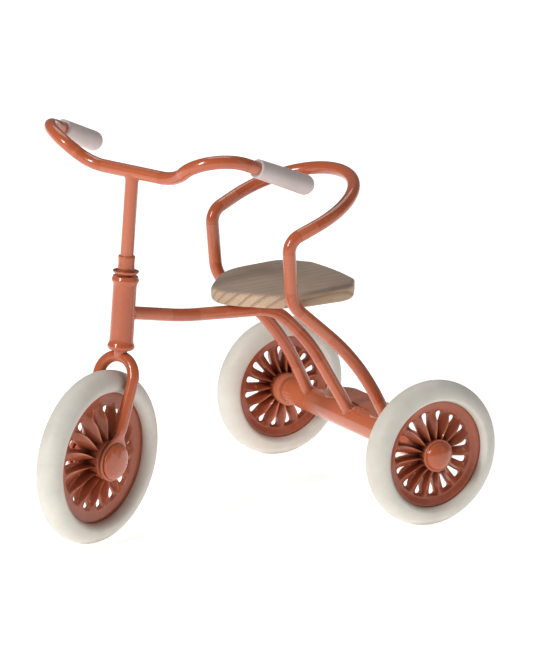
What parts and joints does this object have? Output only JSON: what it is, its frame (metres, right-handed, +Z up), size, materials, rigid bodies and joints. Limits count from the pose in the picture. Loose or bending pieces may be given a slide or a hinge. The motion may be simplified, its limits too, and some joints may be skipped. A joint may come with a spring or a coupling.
{
  "type": "doll tricycle",
  "caption": "Doll-size tricycle with a welded rod frame, wooden seat, looped backrest, steering fork and handlebar, and free-running wheels with pierced discs and round tyres.",
  "frame": {"origin": "on the ground under the middle of the tricycle's length and width", "axes": "+Z up, forward along -Y, the rider's left along +X"},
  "size_m": [0.077, 0.1056, 0.0925],
  "materials": {
    "frame_paint": "gloss coral enamel",
    "wheel_paint": "satin coral enamel",
    "tyre": "matt off-white soft plastic",
    "grip": "matt mauve-grey soft plastic",
    "seat_wood": "bare sanded pine",
    "bush": "natural plastic",
    "bare_steel": "bare steel"
  },
  "bodies": {
    "frame": {"head_tube": "frame_paint", "main_tube": "frame_paint", "backrest_hoop": "frame_paint", "rear_axle_tube": "frame_paint", "rear_step": "frame_paint", "seat_plate": "frame_paint", "seat": "seat_wood", "seat_screws": "bare_steel", "rear_axle_rod": "bare_steel", "rear_cap_left": "frame_paint", "rear_cap_right": "frame_paint"},
    "steering": {"fork": "frame_paint", "steering_stem": "frame_paint", "stem_collar": "frame_paint", "head_washer": "frame_paint", "handlebar": "frame_paint", "grip_left": "grip", "grip_right": "grip", "front_rivet": "frame_paint"},
    "front_wheel": {"front_disc": "wheel_paint", "front_hub_bush": "bush", "front_tyre": "tyre"},
    "rear_wheel_left": {"rear_disc_left": "wheel_paint", "rear_hub_bush_left": "bush", "rear_tyre_left": "tyre"},
    "rear_wheel_right": {"rear_disc_right": "wheel_paint", "rear_hub_bush_right": "bush", "rear_tyre_right": "tyre"}
  },
  "joints": [
    {"name": "steering_turn", "type": "hinge", "parent": "frame", "child": "steering", "pos_m": [0, -0.02562, 0.05], "axis": [0, 0.0958, 0.9954], "range_deg": [-110, 70]},
    {"name": "front_wheel_spin", "type": "hinge", "parent": "steering", "child": "front_wheel", "pos_m": [0.0022, -0.03399, 0.01996], "axis": [0.9272, 0.3729, -0.0359], "continuous": true},
    {"name": "rear_wheel_left_spin", "type": "hinge", "parent": "frame", "child": "rear_wheel_left", "pos_m": [0.0327, 0.03578, 0.017], "axis": [1, 0, 0], "continuous": true},
    {"name": "rear_wheel_right_spin", "type": "hinge", "parent": "frame", "child": "rear_wheel_right", "pos_m": [-0.0327, 0.03578, 0.017], "axis": [1, 0, 0], "continuous": true}
  ]
}
